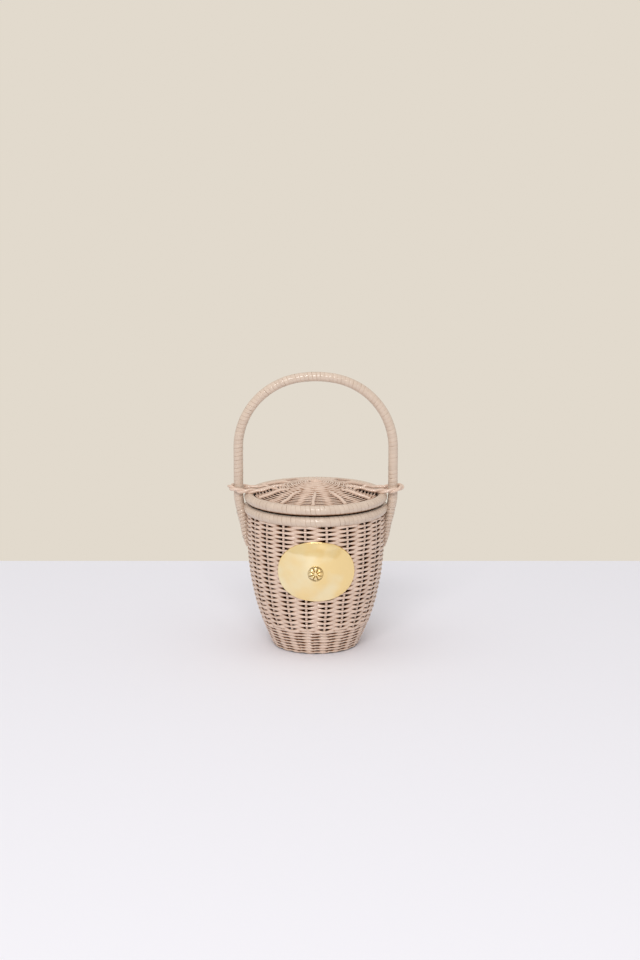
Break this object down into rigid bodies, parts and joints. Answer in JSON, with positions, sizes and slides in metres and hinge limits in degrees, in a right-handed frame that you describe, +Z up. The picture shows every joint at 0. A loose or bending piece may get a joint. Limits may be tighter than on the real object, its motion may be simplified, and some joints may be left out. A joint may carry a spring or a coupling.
{
  "type": "wicker bucket bag",
  "caption": "Small woven wicker bucket bag with a bound rim, a fixed arched wrapped handle, a low conical lid that slides up the handle in twisted loops, and an oval metal plate in front.",
  "frame": {"origin": "centre of the basket's flat base, on the surface it stands on", "axes": "+Z up along the basket's axis, +X to the right across the two handle legs, front with the oval plate towards -Y"},
  "size_m": [0.1778, 0.1481, 0.2794],
  "materials": {
    "wicker": "satin lacquered wicker, pinkish beige",
    "cane_strip": "glossy lacquered cane strip, pinkish beige",
    "gold_plate": "polished pale gold"
  },
  "bodies": {
    "basket": {"basket_base": "wicker", "basket_wall": "wicker", "rim_hoop": "wicker", "rim_binding": "cane_strip", "handle_rod": "wicker", "handle_wrap": "cane_strip", "left_lashing": "cane_strip", "right_lashing": "cane_strip", "medallion": "gold_plate", "medallion_studs": "gold_plate", "medallion_nuts": "gold_plate"},
    "lid": {"lid_weave": "wicker", "lid_hoop": "wicker", "lid_binding": "cane_strip", "left_loop": "cane_strip", "right_loop": "cane_strip"}
  },
  "joints": [
    {"name": "lid_slide", "type": "slide", "parent": "basket", "child": "lid", "axis": [0, 0, 1], "range_m": [0, 0.05]}
  ]
}
